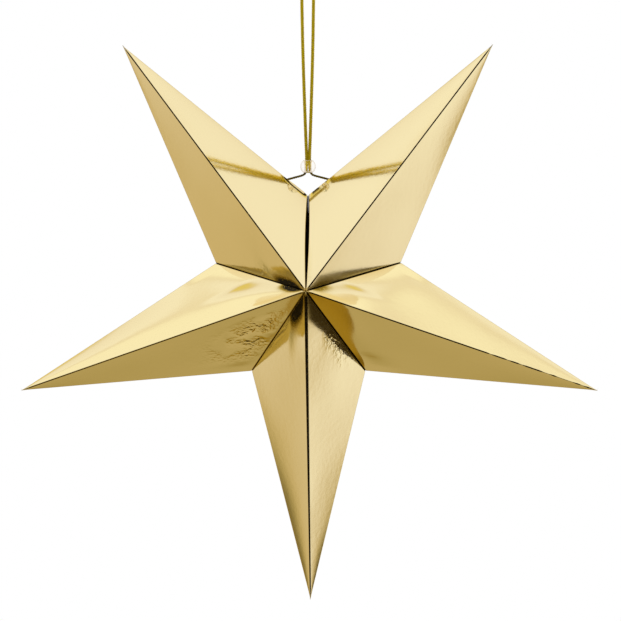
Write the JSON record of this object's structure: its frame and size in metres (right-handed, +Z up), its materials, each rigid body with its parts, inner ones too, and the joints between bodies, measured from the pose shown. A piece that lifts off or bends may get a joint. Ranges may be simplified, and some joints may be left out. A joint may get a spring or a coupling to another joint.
{
  "type": "paper star",
  "caption": "Hollow folded star of gold mirror-foil card with ridged points, hung by a gold cord drawn together by a clear bead.",
  "frame": {"origin": "inside of the hanging loop's top, where a hook bears", "axes": "+Z up, the front faces -Y, +X to the right seen from the front"},
  "size_m": [0.4502, 0.16, 0.479],
  "materials": {
    "foil_card": "mirror-foil laminate, gloss",
    "cord": "metallic gold, twisted",
    "bead": "clear, polished"
  },
  "bodies": {
    "root": {"point_upper_right": "foil_card", "point_right": "foil_card", "point_bottom": "foil_card", "point_left": "foil_card", "point_upper_left": "foil_card", "hanging_cord": "cord", "cord_bead": "bead"}
  },
  "joints": []
}
